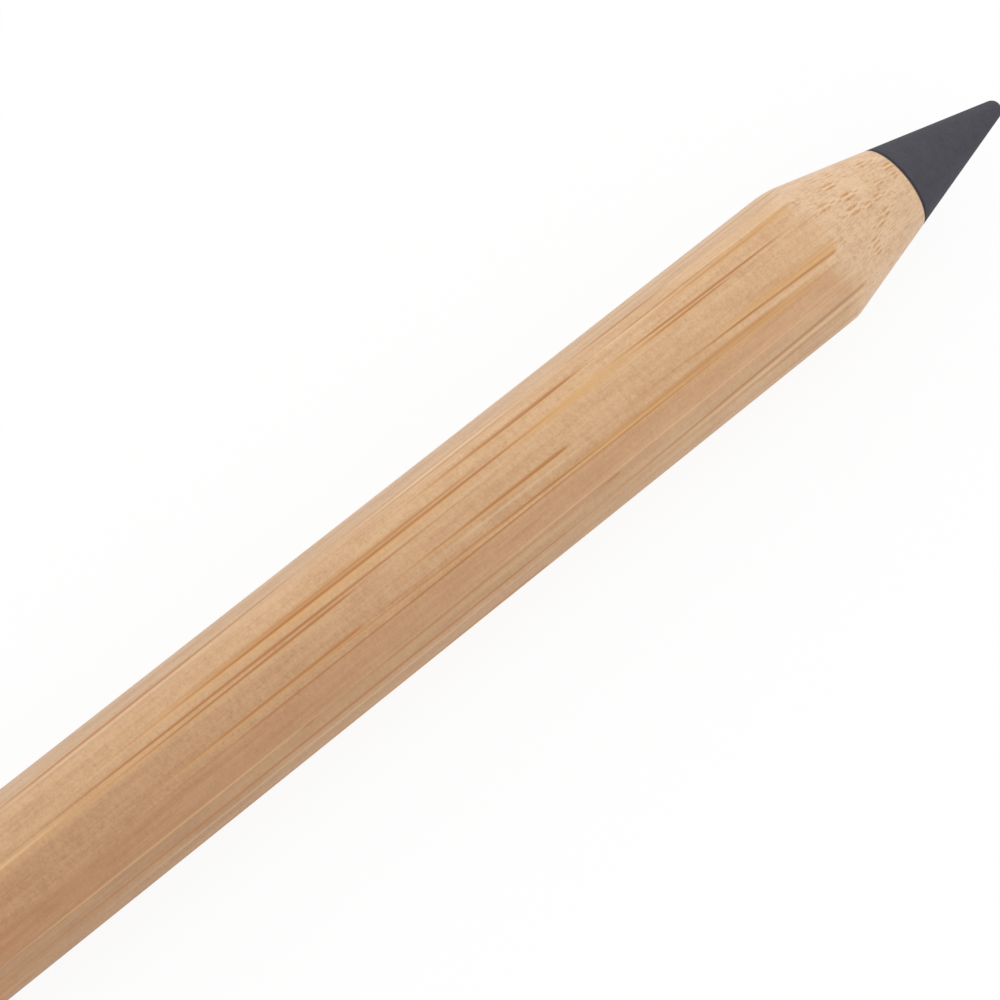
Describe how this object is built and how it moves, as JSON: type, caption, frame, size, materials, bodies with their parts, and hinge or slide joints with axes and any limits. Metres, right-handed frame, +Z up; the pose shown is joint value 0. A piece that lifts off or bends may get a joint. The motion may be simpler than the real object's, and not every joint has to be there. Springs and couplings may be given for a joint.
{
  "type": "inkless pencil",
  "caption": "Inkless pencil: hexagonal bamboo barrel, sharpened at one end, with a graphite nib that screws out for replacement.",
  "frame": {"origin": "middle of the pencil's length, at the foot of the side of the barrel that it lies on", "axes": "+X along the barrel towards the nib, +Z up out of the side opposite the one it lies on, +Y across the barrel"},
  "size_m": [0.175, 0.0086, 0.008],
  "materials": {
    "bamboo": "bare sanded bamboo, satin",
    "brass": "turned and knurled",
    "steel": "bright threaded steel",
    "graphite": "matte graphite compound"
  },
  "bodies": {
    "barrel": {"barrel": "bamboo", "threaded_insert": "brass"},
    "stud": {"nib_stud": "steel"},
    "nib": {"nib": "graphite"}
  },
  "joints": [
    {"name": "stud_travel", "type": "slide", "parent": "barrel", "child": "stud", "axis": [1, 0, 0], "range_m": [0, 0.0054]},
    {"name": "nib_turn", "type": "hinge", "parent": "stud", "child": "nib", "pos_m": [0.07959, 0, 0.004], "axis": [1, 0, 0], "range_deg": [0, 4320]}
  ],
  "couplings": [
    {"joint": "nib_turn", "follows": "stud_travel", "rad_per_m": 13963}
  ]
}
